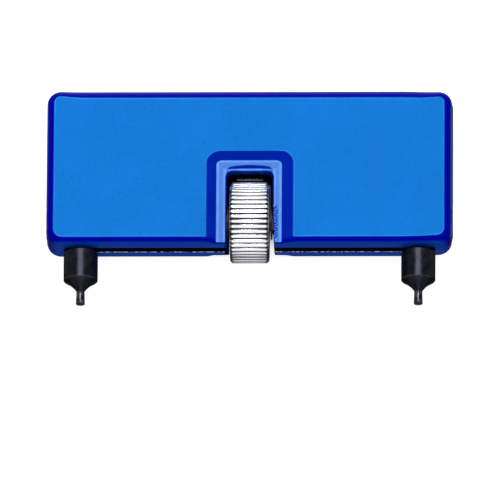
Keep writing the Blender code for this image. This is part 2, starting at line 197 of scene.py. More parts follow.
class Nodes:
    """Short calls for building the nodes of one material or world."""

    def __init__(self, owner):
        owner.use_nodes = True
        self.owner = owner
        self.tree = owner.node_tree

    def put(self, socket, value):
        """Links a socket to another one, or sets its value."""
        if isinstance(value, bpy.types.NodeSocket):
            self.tree.links.new(value, socket)
        elif isinstance(value, tuple) and len(value) == 3 and socket.type == "RGBA":
            socket.default_value = (*value, 1.0)
        else:
            socket.default_value = value

    def finish(self, **values):
        """Sets or links the shader's own sockets, named with underscores for spaces."""
        shader = self.tree.nodes["Principled BSDF"]
        for name, value in values.items():
            self.put(shader.inputs[name.replace("_", " ")], value)
        return self.owner

    def coordinates(self, output="Object"):
        return self.tree.nodes.new("ShaderNodeTexCoord").outputs[output]

    def split(self, vector):
        parts = self.tree.nodes.new("ShaderNodeSeparateXYZ")
        self.put(parts.inputs[0], vector)
        return parts.outputs

    def join(self, x, y, z):
        made = self.tree.nodes.new("ShaderNodeCombineXYZ")
        for socket, value in zip(made.inputs, (x, y, z)):
            self.put(socket, value)
        return made.outputs[0]

    def stretched(self, x_scale, y_scale, z_scale):
        """Object coordinates with each axis scaled, for a texture that runs one way."""
        parts = self.split(self.coordinates())
        return self.join(*(self.product(p, s) for p, s in zip(parts, (x_scale, y_scale, z_scale))))

    def math(self, operation, a, b=0.0, c=0.0):
        made = self.tree.nodes.new("ShaderNodeMath")
        made.operation = operation
        for socket, value in zip(made.inputs, (a, b, c)):
            self.put(socket, value)
        return made.outputs[0]

    def product(self, first, *others):
        for other in others:
            first = self.math("MULTIPLY", first, other)
        return first

    def plus(self, a, b):
        return self.math("ADD", a, b)

    def minus(self, a, b):
        return self.math("SUBTRACT", a, b)

    def larger(self, a, b):
        return self.math("MAXIMUM", a, b)

    def smaller(self, a, b):
        return self.math("MINIMUM", a, b)

    def size(self, value):
        return self.math("ABSOLUTE", value)

    def length(self, a, b):
        """The length of a plane vector."""
        squares = self.plus(self.math("POWER", a, 2.0), self.math("POWER", b, 2.0))
        return self.math("POWER", squares, 0.5)

    def ramp(self, value, low, high, start=0.0, end=1.0):
        """A smooth step from start at low to end at high."""
        made = self.tree.nodes.new("ShaderNodeMapRange")
        made.interpolation_type = "SMOOTHSTEP"
        for name, given in (
            ("Value", value),
            ("From Min", low),
            ("From Max", high),
            ("To Min", start),
            ("To Max", end),
        ):
            self.put(made.inputs[name], given)
        return made.outputs[0]

    def ramp_mm(self, value, low, high):
        """A smooth step from 0 at low to 1 at high, both in millimetres."""
        return self.ramp(value, low * MM, high * MM)

    def noise(self, vector, scale, detail=2.0, roughness=0.5):
        """Noise between 0 and 1, of about scale waves a metre."""
        made = self.tree.nodes.new("ShaderNodeTexNoise")
        self.put(made.inputs["Vector"], vector)
        made.inputs["Scale"].default_value = scale
        made.inputs["Detail"].default_value = detail
        made.inputs["Roughness"].default_value = roughness
        return made.outputs["Fac"]

    def cells(self, vector, scale):
        """Distance to the nearest of about scale spots a metre."""
        made = self.tree.nodes.new("ShaderNodeTexVoronoi")
        self.put(made.inputs["Vector"], vector)
        made.inputs["Scale"].default_value = scale
        return made.outputs["Distance"]

    def mix(self, factor, a, b):
        made = self.tree.nodes.new("ShaderNodeMix")
        made.data_type = "RGBA"
        self.put(made.inputs["Factor"], factor)
        self.put(made.inputs[6], a)
        self.put(made.inputs[7], b)
        return made.outputs[2]

    def bump(self, height, distance):
        made = self.tree.nodes.new("ShaderNodeBump")
        made.inputs["Distance"].default_value = distance
        self.put(made.inputs["Height"], height)
        return made.outputs[0]


def new_material(name):
    return Nodes(bpy.data.materials.new(name))


def dimmed(colour, share):
    return tuple(c * share for c in colour)


# ---- the blue paint ---------------------------------------------------------------

AZURE = (0.008, 0.205, 0.69)
NAVY = (0.0, 0.001, 0.36)
NAVY_LIGHT = (0.0, 0.019, 0.42)
BORDER_HIGHLIGHT_AZURE = (0.04, 0.30, 0.94)
FLOOR_REFLECTION_BLUE = (0.090, 0.25, 0.68)
FLOOR_EDGE_HIGHLIGHT = (0.17, 0.38, 0.98)
UNDERSIDE_REFLECTION = (0.0, 0.060, 0.47)
END_LIGHT_BLUE = (0.05, 0.15, 0.48)
HOLLOW_SHADE = (0.001, 0.002, 0.008)
NOTCH_SHADE = (0.0, 0.004, 0.055)
BARE_METAL = (0.62, 0.64, 0.68)

# Cosines of the angle to the front or rear, between which painted shade turns the paint from navy to
# azure, and those between which the azure's border carries a painted highlight.
FLAT_RANGE = (0.972, 0.9975)
BORDER_START = (0.9998, 0.9985)
BORDER_END = (0.991, 0.995)

# Bounds of the recess's walls and of the plugs' surroundings, in millimetres.
WALL_HALF_WIDTH = 9.3
WALL_TOP = 20.3
PLUG_ZONE_X = 30.0
PLUG_ZONE_Z = 3.8

# Depths under the front skin, in millimetres, between which the recess's floor takes its painted
# reflection and the notch's inside takes its painted shade.
FLOOR_REFLECTION_DEPTH = (0.6, 0.8)
GAP_DEPTH = (1.4, 4.8)


def flat_share(n):
    """1 where the paint faces front or rear, and 0 on the edges and round the plugs."""
    x, y, z = n.split(n.coordinates())
    facing = n.size(n.split(n.coordinates("Normal"))[2])
    return n.product(n.ramp(facing, *FLAT_RANGE), clear_of_plugs(n))


def clear_of_plugs(n):
    x, y, z = n.split(n.coordinates())
    inward = n.ramp_mm(n.size(x), PLUG_ZONE_X, PLUG_ZONE_X - 0.1)
    return n.larger(inward, n.ramp_mm(n.size(z), PLUG_ZONE_Z, PLUG_ZONE_Z + 0.1))


def azure_paint(n, cloud):
    """Mottled azure with a few dark specks."""
    place = n.coordinates()
    azure = n.mix(n.ramp(cloud, 0.75, 1.25), dimmed(AZURE, 0.91), AZURE)
    spots = n.ramp(n.cells(place, 520.0), 0.11, 0.06)
    few = n.ramp(n.noise(place, 170.0, 1.0), 0.5, 0.6)
    return n.mix(n.product(spots, few, 0.45), azure, NAVY_LIGHT)


def shaded_edge_paint(n, cloud):
    """Painted shade: navy where the paint turns away from front and rear, with painted reflections
    making it lighter on the recess's walls, the underside and the ends.
    """
    x, y, z = n.split(n.coordinates())
    sideways, upward, _ = n.split(n.coordinates("Normal"))
    from_middle = n.size(n.minus(x, RECESS_SHIFT * MM))
    wall = n.product(
        n.ramp_mm(from_middle, WALL_HALF_WIDTH + 0.3, WALL_HALF_WIDTH),
        n.ramp_mm(y, 0.6, 1.6),
        n.ramp_mm(y, WALL_TOP + 0.3, WALL_TOP),
    )
    end = n.product(
        n.ramp(n.size(sideways), 0.80, 0.99),
        n.ramp_mm(n.size(x), HALF_LENGTH - 2.0, HALF_LENGTH - 1.5),
    )
    # Painted shade: navy on the surfaces turned away from front and rear.
    paint = n.mix(n.ramp(cloud, 0.7, 1.3), dimmed(NAVY, 0.88), NAVY)
    # Painted reflection: lighter navy on the recess's walls.
    paint = n.mix(wall, paint, NAVY_LIGHT)
    # Painted reflection of the table on the underside, and painted light on the ends.
    paint = n.mix(n.ramp(upward, -0.68, -1.0), paint, UNDERSIDE_REFLECTION)
    return n.mix(end, paint, END_LIGHT_BLUE)


def painted_border_highlight(n):
    """A painted highlight along the azure's thin border, patchy all round and full along the jaw-side
    edge.
    """
    _, upward, frontward = n.split(n.coordinates("Normal"))
    facing = n.size(frontward)
    border = n.product(
        n.ramp(facing, *BORDER_START), n.ramp(facing, *BORDER_END), clear_of_plugs(n)
    )
    patches = n.ramp(n.noise(n.coordinates(), 120.0, 3.0), 0.35, 0.65, 0.1, 0.8)
    return n.product(border, n.larger(patches, n.ramp(upward, -0.01, -0.05, 0.0, 0.85)))


def recess_floor_reflection(n):
    """Painted reflection: a lighter blue, with a brighter, streaky painted highlight along the walls
    and the notch.
    """
    x, y, z = n.split(n.coordinates())
    from_side = n.minus(RECESS_FLOOR_HALF_WIDTH * MM, n.size(n.minus(x, RECESS_SHIFT * MM)))
    from_wall = n.smaller(from_side, n.minus(RECESS_FLOOR_TOP * MM, y))
    from_notch = n.larger(
        n.minus(n.size(x), NOTCH_HALF_WIDTH * MM), n.minus(y, NOTCH_TOP * MM)
    )
    margin = n.larger(n.ramp_mm(from_wall, 0.5, 0.05), n.ramp_mm(from_notch, 0.7, 0.25))
    streaks = n.ramp(n.noise(n.stretched(1.0, 0.3, 1.0), 1500.0, 3.0), 0.3, 0.7, 0.6, 1.0)
    return n.mix(n.product(margin, streaks), FLOOR_REFLECTION_BLUE, FLOOR_EDGE_HIGHLIGHT)


def beside_slot(n):
    """1 along the slot's length and 0 beyond its ends."""
    x, y, z = n.split(n.coordinates())
    return n.ramp_mm(n.size(x), SLOT_HALF_LENGTH + 0.1, SLOT_HALF_LENGTH)


def in_hollow(n):
    """1 inside the bore and the slot, which are unlit."""
    x, y, z = n.split(n.coordinates())
    from_axis = n.length(n.minus(y, AXIS_HEIGHT * MM), z)
    bore = n.product(
        n.ramp_mm(from_axis, BORE_RADIUS + 0.1, BORE_RADIUS + 0.05),
        n.ramp_mm(n.size(x), HALF_LENGTH - 1.0, HALF_LENGTH - 1.1),
    )
    slot = n.product(
        n.ramp_mm(n.size(z), SLOT_HALF_WIDTH + 0.08, SLOT_HALF_WIDTH + 0.03),
        n.ramp_mm(y, AXIS_HEIGHT, AXIS_HEIGHT - 0.1),
        beside_slot(n),
    )
    return n.larger(bore, slot)


def worn_lip(n):
    """Dashes of bare metal along the slot's rear lip."""
    x, y, z = n.split(n.coordinates())
    from_lip = n.size(n.plus(z, (SLOT_HALF_WIDTH + 0.1) * MM))
    dashes = n.noise(n.stretched(1.0, 0.0, 3.0), 1400.0, 3.0, 0.7)
    return n.product(
        n.ramp_mm(from_lip, 0.13, 0.08),
        n.ramp_mm(y, 0.12, 0.06),
        beside_slot(n),
        n.ramp(dashes, 0.47, 0.56),
    )


def in_notch(n):
    """1 on the notch's walls and ceiling."""
    x, y, z = n.split(n.coordinates())
    return n.product(
        n.ramp_mm(n.size(x), NOTCH_HALF_WIDTH + 0.3, NOTCH_HALF_WIDTH + 0.15),
        n.ramp_mm(y, NOTCH_TOP + 0.3, NOTCH_TOP + 0.15),
    )


def worn_flash(n):
    """Dashes of bare metal along the ridge of flash."""
    x, y, z = n.split(n.coordinates())
    from_flash = n.size(n.plus(z, (FLASH_OFFSET - 0.12) * MM))
    dashes = n.noise(n.stretched(1.0, 0.0, 0.0), 1300.0, 2.0, 0.6)
    return n.product(
        n.ramp_mm(from_flash, 0.3, 0.2),
        n.ramp(dashes, 0.40, 0.46),
        n.ramp_mm(n.size(x), FLASH_HALF_LENGTH - 0.1, FLASH_HALF_LENGTH - 0.5),
        n.ramp_mm(y, NOTCH_TOP - 0.7, NOTCH_TOP - 0.4),
        in_notch(n),
    )


def blue_paint():
    """Gloss paint: azure where it lies flat, with painted shade making it navy where it turns over an
    edge, a painted reflection on the recess's floor, painted shade in the hollows and deep in the
    notch, and rubbed to bare metal on two edges."""
    n = new_material("blue_paint")
    place = n.coordinates()
    x, y, z = n.split(place)
    cloud = n.plus(n.noise(place, 110.0, 2.0), n.noise(place, 1400.0, 3.0))
    flat = flat_share(n)
    sunk = n.ramp_mm(n.size(z), *(HALF_THICKNESS - depth for depth in FLOOR_REFLECTION_DEPTH))
    deep = n.ramp_mm(z, *(HALF_THICKNESS - depth for depth in GAP_DEPTH))
    gap = n.product(in_notch(n), deep)
    lip = worn_lip(n)
    flash = worn_flash(n)
    worn = n.larger(lip, flash)

    # Painted shade: the paint goes from azure to navy as it turns away from front and rear.
    colour = n.mix(flat, shaded_edge_paint(n, cloud), azure_paint(n, cloud))
    # Painted highlight along the azure's border.
    colour = n.mix(painted_border_highlight(n), colour, BORDER_HIGHLIGHT_AZURE)
    # Painted reflection on the recess's floor.
    colour = n.mix(n.product(sunk, flat), colour, recess_floor_reflection(n))
    # Painted shade inside the bore and the slot.
    colour = n.mix(in_hollow(n), colour, HOLLOW_SHADE)
    colour = n.mix(lip, colour, BARE_METAL)
    # Painted shade deep inside the notch, round the wheel.
    colour = n.mix(gap, colour, NOTCH_SHADE)
    colour = n.mix(flash, colour, BARE_METAL)

    gloss = n.ramp(n.noise(place, 300.0, 3.0), 0.3, 0.7, 0.12, 0.17)
    rough = n.plus(gloss, n.plus(n.product(worn, 0.25), n.product(in_notch(n), 0.12)))
    peel = n.noise(place, 700.0, 2.0)
    flow = n.noise(n.stretched(0.2, 1.0, 1.0), 900.0, 2.0)
    return n.finish(
        Base_Color=colour,
        Metallic=n.larger(worn, gap),
        Roughness=rough,
        Normal=n.bump(n.plus(peel, n.product(flow, 0.3)), 0.000006),
        IOR=1.2,
        Specular_Tint=(0.06, 0.14, 0.8),
    )


# ---- the metals -------------------------------------------------------------------

PLATE_DULL = (0.80, 0.80, 0.82)
PLATE_BRIGHT = (0.92, 0.92, 0.93)
PIT = (0.16, 0.15, 0.15)
FLUTE_SHADE = (0.035, 0.035, 0.045)
WHEEL_SIDE = (0.12, 0.12, 0.13)
BLACKED_DARK = (0.011, 0.012, 0.019)
BLACKED_LIGHT = (0.025, 0.027, 0.038)
SHOULDER_HIGHLIGHT = (0.075, 0.077, 0.095)
TIP_GLINT = (0.10, 0.10, 0.12)


def groove_shade(n):
    """Where shade is painted: 1 deep in the rim's flutes, over a wider band towards the rim's two
    edges.
    """
    x, y, z = n.split(n.coordinates())
    half_width = WHEEL_HIGH.x / MM
    turn = n.math("ARCTAN2", n.product(y, -1.0), z)
    across = n.math("FRACT", n.product(n.minus(turn, FLUTE_PHASE), FLUTES / math.tau))
    from_groove = n.size(n.minus(across, 0.5))
    near_edge = n.ramp_mm(n.size(x), half_width - 0.9, half_width)
    return n.product(
        n.ramp(n.minus(from_groove, n.product(near_edge, 0.16)), 0.21, 0.09),
        n.ramp_mm(n.length(y, z), 7.3, 7.5),
        n.ramp_mm(n.size(x), half_width - 0.03, half_width - 0.08),
    )


def nickel_plate():
    """Bright plated steel with a satin grain, a few tiny pits and painted shade in its flutes."""
    n = new_material("nickel_plate")
    place = n.coordinates()
    x, y, z = n.split(place)
    smears = n.noise(place, 420.0, 3.0)
    pitless = n.ramp(n.noise(place, 260.0, 0.0), 0.66, 0.62)
    clean = n.larger(n.ramp(n.cells(place, 520.0), 0.055, 0.10), pitless)
    on_side = n.minus(1.0, n.ramp_mm(n.length(y, z), 7.4, 7.6))
    colour = n.mix(n.ramp(smears, 0.3, 0.7), PLATE_DULL, PLATE_BRIGHT)
    colour = n.mix(clean, PIT, colour)
    # Painted shade in the flutes.
    colour = n.mix(groove_shade(n), colour, FLUTE_SHADE)
    colour = n.mix(n.product(on_side, 0.75), colour, WHEEL_SIDE)
    satin = n.ramp(smears, 0.3, 0.7, 0.15, 0.22)
    return n.finish(
        Base_Color=colour,
        Metallic=n.math("MULTIPLY_ADD", on_side, -0.8, 1.0),
        Roughness=n.math("MULTIPLY_ADD", on_side, 0.3, satin),
        Normal=n.bump(n.plus(n.noise(place, 5200.0, 2.0), clean), 0.000004),
    )


def black_oxide_steel():
    """Turned steel, blackened, with rings left by the lathe, a painted highlight along the shoulder's
    edge and a smoother tip."""
    n = new_material("black_oxide_steel")
    place = n.coordinates()
    x, y, z = n.split(place)
    rings = n.noise(n.stretched(0.02, 1.0, 0.02), 2600.0, 4.0)
    patches = n.noise(place, 700.0, 3.0)
    from_shoulder = n.size(n.minus(y, (PIN_SHOULDER + 0.04) * MM))
    # A painted highlight in patches along the shoulder's edge.
    shoulder_highlight = n.product(n.ramp_mm(from_shoulder, 0.13, 0.04), n.ramp(patches, 0.35, 0.6))
    slim = n.ramp_mm(y, FLARE_END + 0.2, FLARE_END - 0.3)
    colour = n.mix(n.ramp(patches, 0.3, 0.75), BLACKED_DARK, BLACKED_LIGHT)
    colour = n.mix(shoulder_highlight, colour, SHOULDER_HIGHLIGHT)
    colour = n.mix(n.product(slim, n.ramp(patches, 0.4, 0.6)), colour, TIP_GLINT)
    satin = n.ramp(patches, 0.3, 0.7, 0.26, 0.36)
    return n.finish(
        Base_Color=colour,
        Metallic=0.85,
        Roughness=n.math("MULTIPLY_ADD", slim, -0.12, satin),
        Normal=n.bump(rings, 0.000014),
    )


def turned_metal(name, colour, roughness):
    """Plain turned metal with rings round X and a light film of oil."""
    n = new_material(name)
    rings = n.noise(n.stretched(1.0, 0.05, 0.05), 7000.0, 2.0)
    film = n.ramp(n.noise(n.coordinates(), 500.0, 3.0), 0.3, 0.7)
    return n.finish(
        Base_Color=n.mix(film, dimmed(colour, 0.75), colour),
        Metallic=1.0,
        Roughness=n.math("MULTIPLY_ADD", film, 0.12, roughness),
        Normal=n.bump(rings, 0.000004),
    )


PAINT = blue_paint()
NICKEL = nickel_plate()
BLACK_STEEL = black_oxide_steel()
PLAIN_STEEL = turned_metal("plain_steel", (0.50, 0.50, 0.51), 0.3)
BRONZE = turned_metal("bronze", (0.62, 0.40, 0.17), 0.3)
DARK_STEEL = turned_metal("dark_steel", (0.035, 0.035, 0.045), 0.4)


# ---- meshes -----------------------------------------------------------------------


def add_piece(name, mesh, body, material, place, nodes):
    """A finished piece that rides on a body and stands for some CAD nodes."""
    piece = bpy.data.objects.new(name, mesh)
    bpy.context.scene.collection.objects.link(piece)
    piece.matrix_world = place
    mesh.materials.append(material)
    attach(piece, body)
    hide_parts(*nodes)
    return piece


def graded(*stops):
    """Grid lines between stops of (position, step after it)."""
    lines = []
    for (start, step), (end, _) in zip(stops, stops[1:]):
        count = max(1, round((end - start) / step))
        lines += [start + (end - start) * i / count for i in range(count)]
    return np.array(lines + [stops[-1][0]])


def mirrored(lines):
    """Grid lines for both sides of zero, from those of the positive side."""
    return np.concatenate([-lines[:0:-1], lines])


def gradient(field, points, step=0.002):
    """The field's gradient at each point."""
    out = np.empty_like(points)
    for axis in range(3):
        ahead = points.copy()
        behind = points.copy()
        ahead[:, axis] += step
        behind[:, axis] -= step
        out[:, axis] = (field(*ahead.T) - field(*behind.T)) / (2 * step)
    return out


def crossing_faces(values, lines, axis, sums):
    """The faces over all grid edges along one axis that the surface crosses.

    Each face joins the four cells round its edge. The crossing point is added to the sums
    that each of those cells keeps.
    """
    cell_shape = tuple(len(line) - 1 for line in lines)
    u, v = (axis + 1) % 3, (axis + 2) % 3
    first = np.take(values, range(cell_shape[axis]), axis=axis)
    second = np.take(values, range(1, cell_shape[axis] + 1), axis=axis)
    crossed = np.nonzero((first < 0) != (second < 0))
    a, b = first[crossed], second[crossed]
    index = np.stack(crossed, axis=1)
    point = np.stack([lines[i][index[:, i]] for i in range(3)], axis=1)
    span = lines[axis][index[:, axis] + 1] - lines[axis][index[:, axis]]
    point[:, axis] += span * a / (a - b)
    ring = []
    for du, dv in ((0, 0), (-1, 0), (-1, -1), (0, -1)):
        cell = index.copy()
        cell[:, u] += du
        cell[:, v] += dv
        number = np.ravel_multi_index(tuple(cell.T), cell_shape)
        np.add.at(sums, number, np.column_stack([point, np.ones(len(point))]))
        ring.append(number)
    ring = np.stack(ring, axis=1)
    ring[a >= 0] = ring[a >= 0][:, ::-1]
    return ring


def implicit_mesh(name, field, xs, ys, zs):
    """The closed surface where field is zero, in millimetres, turned to metres.

    Each grid cell that the surface crosses gets one vertex, which is then moved onto the
    surface, and the mesh's normals are the field's own.
    """
    lines = (xs, ys, zs)
    values = field(*np.meshgrid(*lines, indexing="ij"))
    sums = np.zeros(((len(xs) - 1) * (len(ys) - 1) * (len(zs) - 1), 4))
    faces = [crossing_faces(values, lines, axis, sums) for axis in range(3)]
    used = np.nonzero(sums[:, 3])[0]
    points = sums[used, :3] / sums[used, 3:]
    for _ in range(4):
        slope = gradient(field, points)
        steepness = np.maximum((slope**2).sum(axis=1), 0.25)
        shift = slope * (field(*points.T) / steepness)[:, None]
        points -= np.clip(shift, -0.08, 0.08)
    number = np.empty(len(sums), dtype=int)
    number[used] = np.arange(len(used))
    mesh = bpy.data.meshes.new(name)
    mesh.from_pydata((points * MM).tolist(), [], number[np.concatenate(faces)].tolist())
    mesh.shade_smooth()
    normals = gradient(field, points)
    normals /= np.linalg.norm(normals, axis=1)[:, None]
    mesh.normals_split_custom_set_from_vertices(normals.tolist())
    return mesh


def step_up(value, low, high):
    """A smooth step from 0 at low to 1 at high."""
    t = np.clip((value - low) / (high - low), 0.0, 1.0)
    return t * t * (3 - 2 * t)


def smooth_ramp(value, blend):
    """0 below 0 and value above it, with a rounded bend of half-width blend."""
    bent = (value + blend) ** 2 / (4 * blend)
    return np.where(value <= -blend, 0.0, np.where(value >= blend, value, bent))


def meet(a, b, radius):
    """The overlap of two solids, with a fillet of that radius along their edge."""
    corner = np.hypot(np.maximum(a + radius, 0.0), np.maximum(b + radius, 0.0))
    return np.minimum(-radius, np.maximum(a, b)) + corner


def rounded_corner(dx, dy, radius):
    """Distance to a corner rounded by radius, from the overshoots past its centre."""
    outside = np.hypot(np.maximum(dx, 0.0), np.maximum(dy, 0.0))
    return outside + np.minimum(np.maximum(dx, dy), 0.0) - radius


def rounded_box_2d(x, y, half_x, half_y, radius):
    """Distance to a rounded rectangle about the origin."""
    return rounded_corner(np.abs(x) - half_x + radius, np.abs(y) - half_y + radius, radius)


def arch(x, y, half_width, top, radius):
    """Distance to an upright strip from far below up to top, with rounded top corners."""
    return rounded_corner(np.abs(x) - half_width + radius, y - top + radius, radius)


# ---- body shell, in millimetres -----------------------------------------------------


def recess_wall(x):
    """The recess wall's width in plan, a little more on the right."""
    right = step_up(x, *RECESS_WALL_CHANGE)
    return RECESS_LEFT_WALL + (RECESS_RIGHT_WALL - RECESS_LEFT_WALL) * right


def recess(x, y):
    """The recess's depth under the front skin: a tilted floor and straight walls."""
    bend = RECESS_FLOOR_TOP - 1.0
    stretched = np.where(y > bend, bend + (y - bend) * RECESS_TOP_STRETCH, y)
    top = bend + RECESS_TOP_STRETCH
    out = arch(x - RECESS_SHIFT, stretched, RECESS_FLOOR_HALF_WIDTH, top, RECESS_FLOOR_CORNER)
    slope = RECESS_DEPTH / (recess_wall(x) - RECESS_BLEND * 2)
    rise = slope * smooth_ramp(out - RECESS_BLEND, RECESS_BLEND)
    depth = smooth_ramp(RECESS_DEPTH - rise, slope * RECESS_BLEND)
    return depth + math.tan(FLOOR_TILT) * np.clip(-out, 0.0, FLOOR_TILT_WIDTH)


def scoop(x, y):
    """The crescent's depth under the recess's floor."""
    edge = SCOOP_EDGE + SCOOP_RISE * np.sqrt(np.clip(1.0 - (x / SCOOP_HALF_WIDTH) ** 2, 0.0, 1.0))
    fading = np.clip(1.0 - (x / SCOOP_END) ** 2, 0.0, 1.0)
    over_notch = y > NOTCH_TOP - 1.7
    return SCOOP_DEPTH * step_up(edge - y, -0.05, SCOOP_RAMP) * fading * over_notch


def ripples(x, y):
    """The height of the casting ripples in the recess's floor: short waves that wander."""
    across = step_up(x, RIPPLE_NEAR, RIPPLE_NEAR + 0.3) * step_up(RIPPLE_FAR - x, 0.0, 0.6)
    upright = step_up(y, RIPPLE_LOW, RIPPLE_LOW + 1.4) * step_up(RIPPLE_HIGH - y, 0.0, 3.0)
    wave = np.sin(6.0 * y + 2.0 * np.sin(2.6 * x + 1.1 * y)) * np.sin(2.1 * x + 3.3)
    return RIPPLE * across * upright * wave


def face_height(x, y):
    """Height of the front skin over the parting plane, before its outer fillets."""
    return HALF_THICKNESS - recess(x, y) - scoop(x, y) + ripples(x, y)


def face_fillet(x, y, z):
    """The radius of the face's edge: larger at the top, smaller at the jaw-side edge, at the
    recess's open end and on the rear."""
    from_end = HALF_LENGTH - np.abs(x)
    upper = step_up(y, HEIGHT / 2 - 2.0, HEIGHT / 2 + 2.0)
    near_top = step_up(from_end - (HEIGHT - y), *TOP_FILLET_CHANGE) * upper
    near_jaws = step_up(from_end - y, *JAW_FILLET_CHANGE) * (1.0 - upper)
    fillet = FACE_FILLET + (TOP_FILLET - FACE_FILLET) * near_top
    fillet = fillet + (JAW_FILLET - FACE_FILLET) * near_jaws
    from_floor = arch(x, y, RECESS_FLOOR_HALF_WIDTH, RECESS_FLOOR_TOP, RECESS_FLOOR_CORNER)
    beyond_wall = step_up(from_floor, 0.0, RECESS_LEFT_WALL)
    fillet = RECESS_EDGE_FILLET + (fillet - RECESS_EDGE_FILLET) * beyond_wall
    return np.where(z < 0.0, np.minimum(fillet, REAR_FILLET), fillet)


def notch(x, y, z):
    """Distance to the notch: narrower to the rear, except at its open end on the right, where
    it flares a little, and with a ridge of flash on its ceiling."""
    right = x > 0.0
    rearward = np.clip(0.5 - z / HALF_THICKNESS / 2, 0.0, 1.0)
    rearward = rearward * np.where(right, step_up(y, *NOTCH_STRAIGHT_END), 1.0)
    flare = np.clip(1.0 - y / NOTCH_FLARE_HEIGHT, 0.0, 1.0) ** 2
    width = NOTCH_HALF_WIDTH + (NOTCH_REAR_HALF_WIDTH - NOTCH_HALF_WIDTH) * rearward
    width = width + np.where(right, NOTCH_FLARE * flare, 0.0)
    ridge = FLASH_HEIGHT * np.exp(-(((z + FLASH_OFFSET) / FLASH_WIDTH) ** 2))
    ridge = ridge * step_up(FLASH_HALF_LENGTH - np.abs(x), 0.0, 0.6)
    return arch(x, y, width, NOTCH_TOP - ridge, NOTCH_CORNER)


def hollow(x, y, z):
    """Below zero in the slot, the bore and the plugs' seats."""
    slot = np.maximum(np.abs(z) - SLOT_HALF_WIDTH, np.abs(x) - SLOT_HALF_LENGTH)
    slot = np.maximum(slot, y - AXIS_HEIGHT)
    from_axis = np.hypot(y - AXIS_HEIGHT, z)
    inward = HALF_LENGTH - PLUG_BORE_DEPTH - np.abs(x)
    seats = np.maximum(from_axis - PLUG_BORE_RADIUS, inward)
    return np.minimum(np.minimum(slot, from_axis - BORE_RADIUS), seats)


def body_field(x, y, z):
    """Below zero inside the casting."""
    deep = np.abs(z)
    plan = rounded_box_2d(x, y - HEIGHT / 2, HALF_LENGTH, HEIGHT / 2, CORNER_RADIUS)
    draft = LEFT_DRAFT + (RIGHT_DRAFT - LEFT_DRAFT) * step_up(x, *DRAFT_CHANGE)
    side = plan + draft * deep / HALF_THICKNESS
    solid = meet(side, deep - face_height(x, y), face_fillet(x, y, z))
    solid = meet(solid, -notch(x, y, z), LIP_RADIUS)
    return meet(solid, -hollow(x, y, z), SLOT_LIP_RADIUS)


def body_shell():
    """The painted casting, on a grid that is fine round its edges, recess, notch and slot, and
    that reaches a little beyond it."""
    end = HALF_LENGTH + 0.25
    top = HEIGHT + 0.25
    front = HALF_THICKNESS + 0.3
    xs = mirrored(graded((0.0, 0.4), (3.2, 0.15), (9.2, 1.5), (35.7, 0.6), (36.9, 0.2), (end, 0)))
    ys = graded(
        (-0.3, 0.1), (1.5, 0.25), (9.2, 0.6), (14.0, 0.13), (20.2, 1.0), (29.2, 0.2), (top, 0)
    )
    zs = mirrored(graded((0.0, 0.3), (0.9, 0.08), (1.8, 0.25), (2.3, 0.12), (front, 0)))
    mesh = implicit_mesh("body_shell", body_field, xs, ys, zs)
    place = Matrix.Translation((0.0, JAW_EDGE_Y, PARTING_Z))
    return add_piece("body_shell", mesh, "body", PAINT, place, ["body_casting"])


# ---- lathe work, in metres ----------------------------------------------------------


def wrapped_mesh(name, rows, ring_shaped=False):
    """A closed solid from rows of points round an axis. Its ends are rows of one point, or,
    for a ring-shaped one, its last row is joined to its first."""
    bm = bmesh.new()
    rings = [[bm.verts.new(point) for point in row] for row in rows]
    if ring_shaped:
        rings.append(rings[0])
    for low, high in zip(rings, rings[1:]):
        count = max(len(low), len(high))
        for i in range(count):
            j = (i + 1) % count
            corners = [low[i % len(low)], low[j % len(low)], high[j % len(high)], high[i % len(high)]]
            bm.faces.new(list(dict.fromkeys(corners)))
    bmesh.ops.recalc_face_normals(bm, faces=bm.faces)
    mesh = bpy.data.meshes.new(name)
    bm.to_mesh(mesh)
    bm.free()
    mesh.shade_smooth()
    mesh.set_sharp_from_angle(angle=SHARP_ANGLE)
    return mesh


def lathe(profile, count):
    """Rows round X from a profile of (distance along, radius)."""
    turns = [math.tau * i / count for i in range(count)]
    rows = []
    for along, radius in profile:
        if radius == 0.0:
            rows.append([Vector((along, 0.0, 0.0))])
        else:
            rows.append([Vector((along, radius * math.cos(t), radius * math.sin(t))) for t in turns])
    return rows


def turned_over(mesh):
    """Mirrors a right-hand piece's mesh to make the left-hand one."""
    mesh.transform(Matrix.Scale(-1, 4, (1, 0, 0)))
    mesh.flip_normals()


# ---- thumbwheel -------------------------------------------------------------------


def flute_dip(turn, widening):
    """How far the rim is cut below its full radius, from 0 on a land to 1 in a groove."""
    across = (turn * FLUTES / math.tau) % 1.0
    from_groove = abs(across - 0.5) * 2
    t = min(1.0, from_groove / (FLUTE_SHARE + widening))
    return 1.0 - t * t * (3 - 2 * t)


def wheel_row(along, radius_at):
    """Points round X at one distance along it, the first on the middle of a land."""
    count = FLUTES * FLUTE_STEPS
    row = []
    for i in range(count):
        turn = math.tau * i / count
        radius = radius_at(turn)
        at = turn + FLUTE_PHASE
        row.append(Vector((along, -radius * math.sin(at), radius * math.cos(at))))
    return row


def rim_row(along, half, radius):
    """One row of the rim. The flutes run out in its chamfers and widen towards them."""
    from_side = half - abs(along)
    limit = radius - max(0.0, RIM_CHAMFER * MM - from_side)
    widening = RIM_WIDENING * max(0.0, 1 - from_side / (RIM_FLARE * MM))
    return wheel_row(
        along, lambda turn: min(limit, radius - FLUTE_DEPTH * MM * flute_dip(turn, widening))
    )


